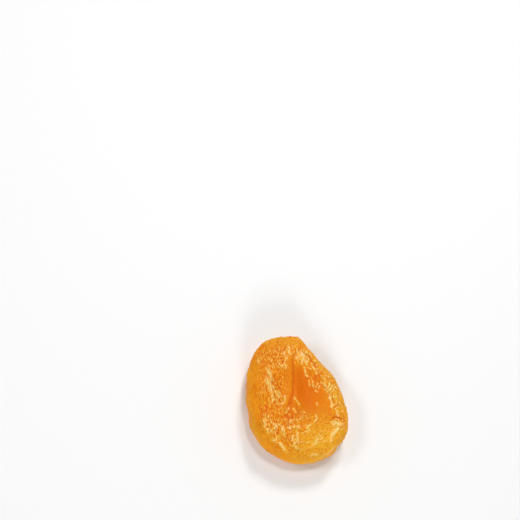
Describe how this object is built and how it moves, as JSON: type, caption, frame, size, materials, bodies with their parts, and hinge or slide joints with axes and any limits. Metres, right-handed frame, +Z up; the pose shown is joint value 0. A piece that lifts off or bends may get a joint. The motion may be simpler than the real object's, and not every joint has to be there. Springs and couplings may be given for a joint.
{
  "type": "dried apricot",
  "caption": "Whole dried apricot with its stone taken out: plump round the rim, sunken in the middle, and lying on its back on a small flat spot.",
  "frame": {"origin": "on the surface that the fruit rests on, under the middle of its bounding box", "axes": "+Z up, out of the sunken face; +Y from the broad blossom end to the blunt stem end; +X towards the straight, thin edge"},
  "size_m": [0.0312, 0.0392, 0.0126],
  "materials": {
    "apricot_skin": "satin: moist, finely wrinkled and slightly translucent dried fruit skin, deep orange in the hollow and yellow at the thin lower edge"
  },
  "bodies": {
    "root": {"apricot": "apricot_skin"}
  },
  "joints": []
}
